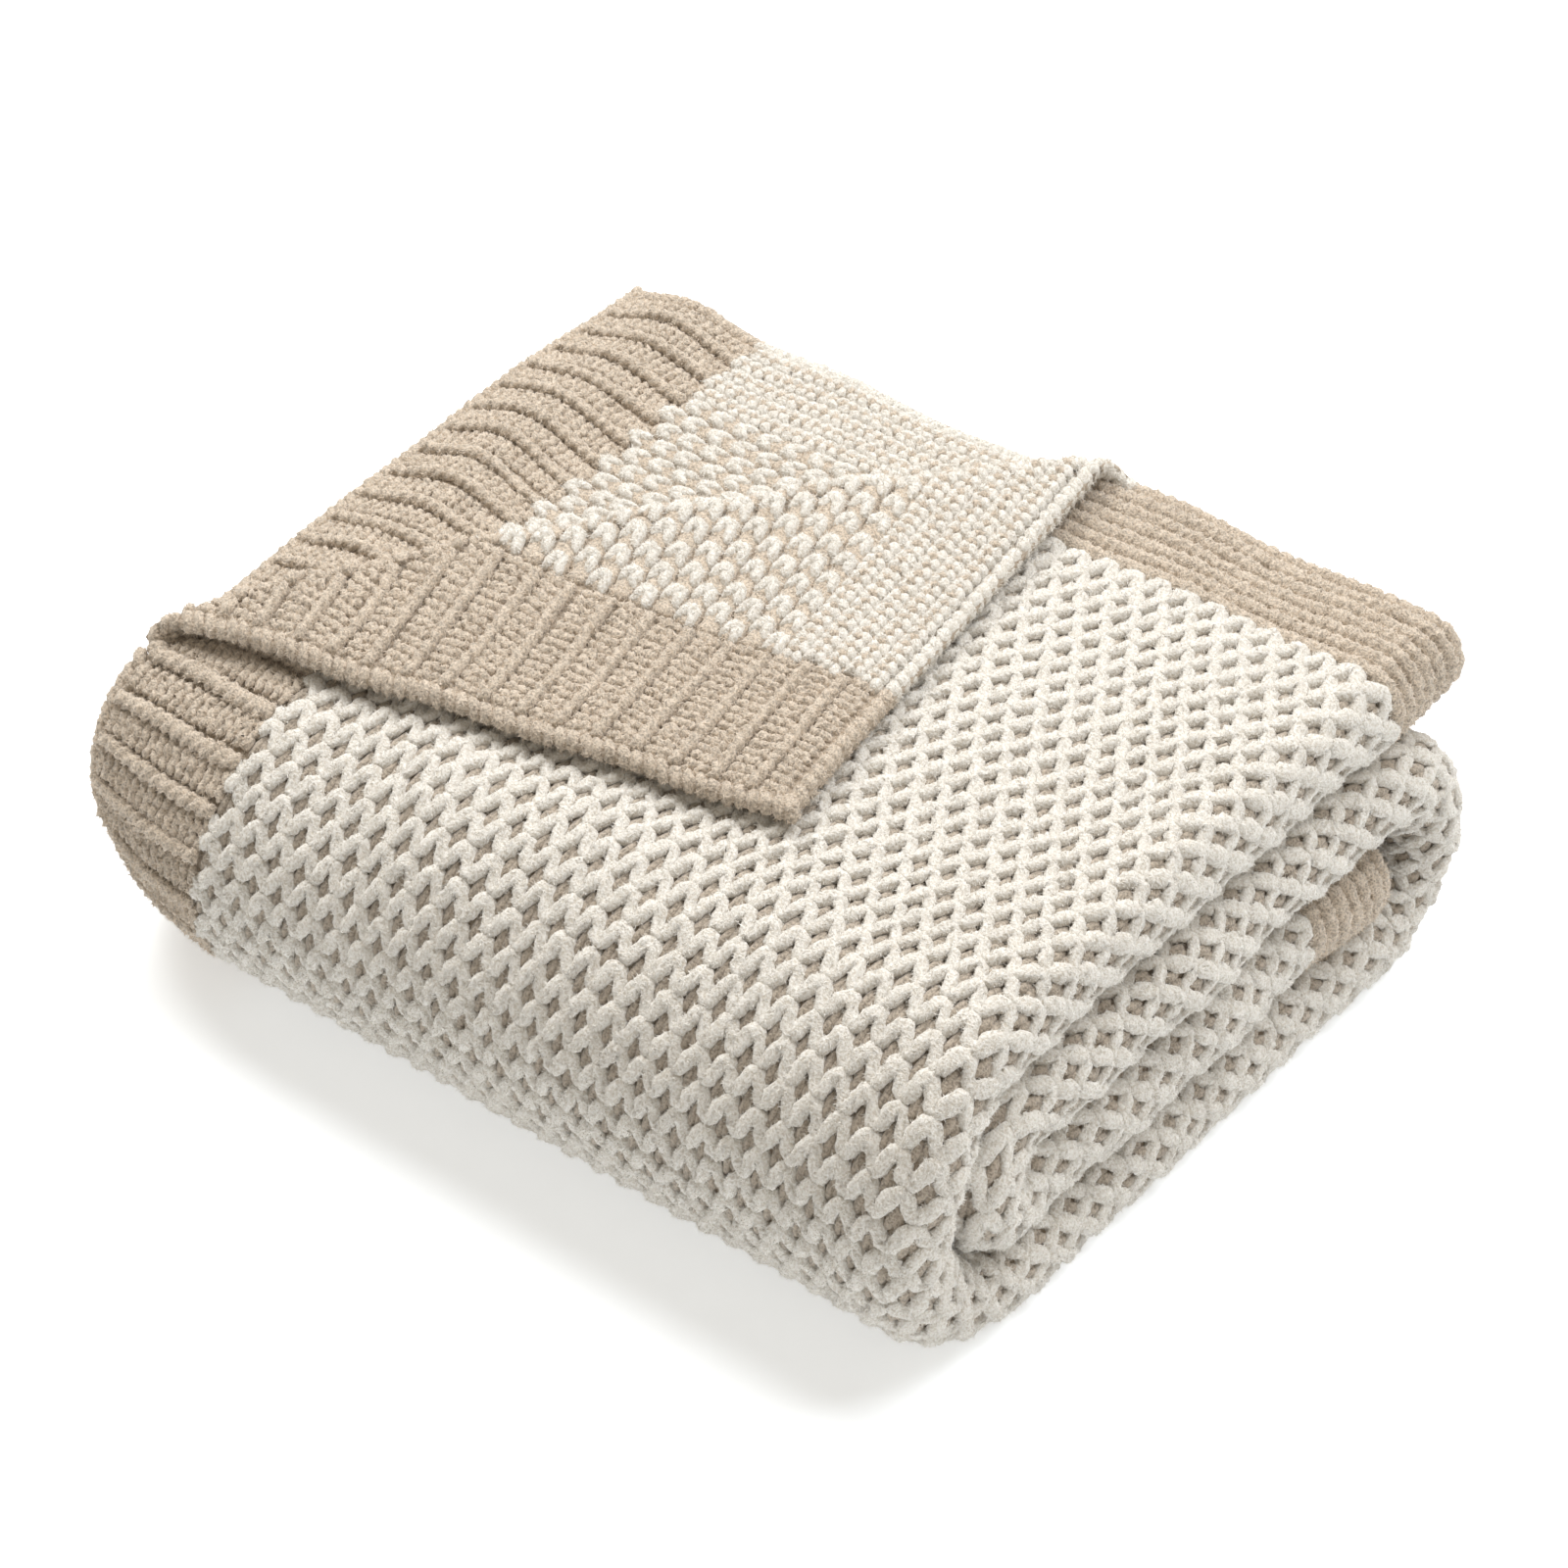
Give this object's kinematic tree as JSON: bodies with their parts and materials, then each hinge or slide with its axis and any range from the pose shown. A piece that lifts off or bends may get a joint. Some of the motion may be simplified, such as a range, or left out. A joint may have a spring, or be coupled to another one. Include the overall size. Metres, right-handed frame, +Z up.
{
  "type": "folded throw blanket",
  "caption": "Chunky knitted throw blanket folded into a soft pile, with ribbed borders, a honeycomb centre and one top corner that turns back on a crease.",
  "frame": {"origin": "centre of the pile's bounding box in plan, on the surface it rests on", "axes": "+X along the pile's long side, from its open left end to its folded lips; +Y across the pile to the side with the cloth's free top edge; +Z up"},
  "size_m": [0.3828, 0.3194, 0.1382],
  "materials": {
    "honeycomb_knit": "fuzzy cream chenille lattice over a tan ground",
    "tan_chenille": "fuzzy tan chenille, ribbed",
    "honeycomb_reverse": "fuzzy cream and tan chenille, stranded reverse",
    "side_border_reverse": "fuzzy cream and tan chenille, birdseye reverse"
  },
  "bodies": {
    "stack": {"honeycomb_panel": "honeycomb_knit", "side_border_outer": "tan_chenille", "side_border_inner": "tan_chenille", "end_border_upper": "tan_chenille", "end_border_lower": "tan_chenille", "edge_roll_upper": "tan_chenille", "edge_roll_lower": "tan_chenille"},
    "corner_flap": {"corner_flap_field": "honeycomb_reverse", "corner_flap_side_border": "side_border_reverse", "corner_flap_end_border": "tan_chenille", "corner_flap_edge_roll": "tan_chenille"}
  },
  "joints": [
    {"name": "corner_flap_fold", "type": "hinge", "parent": "stack", "child": "corner_flap", "pos_m": [-0.07812, 0.02275, 0.11971], "axis": [-0.6532, -0.7541, -0.0687], "range_deg": [0, 150]}
  ]
}
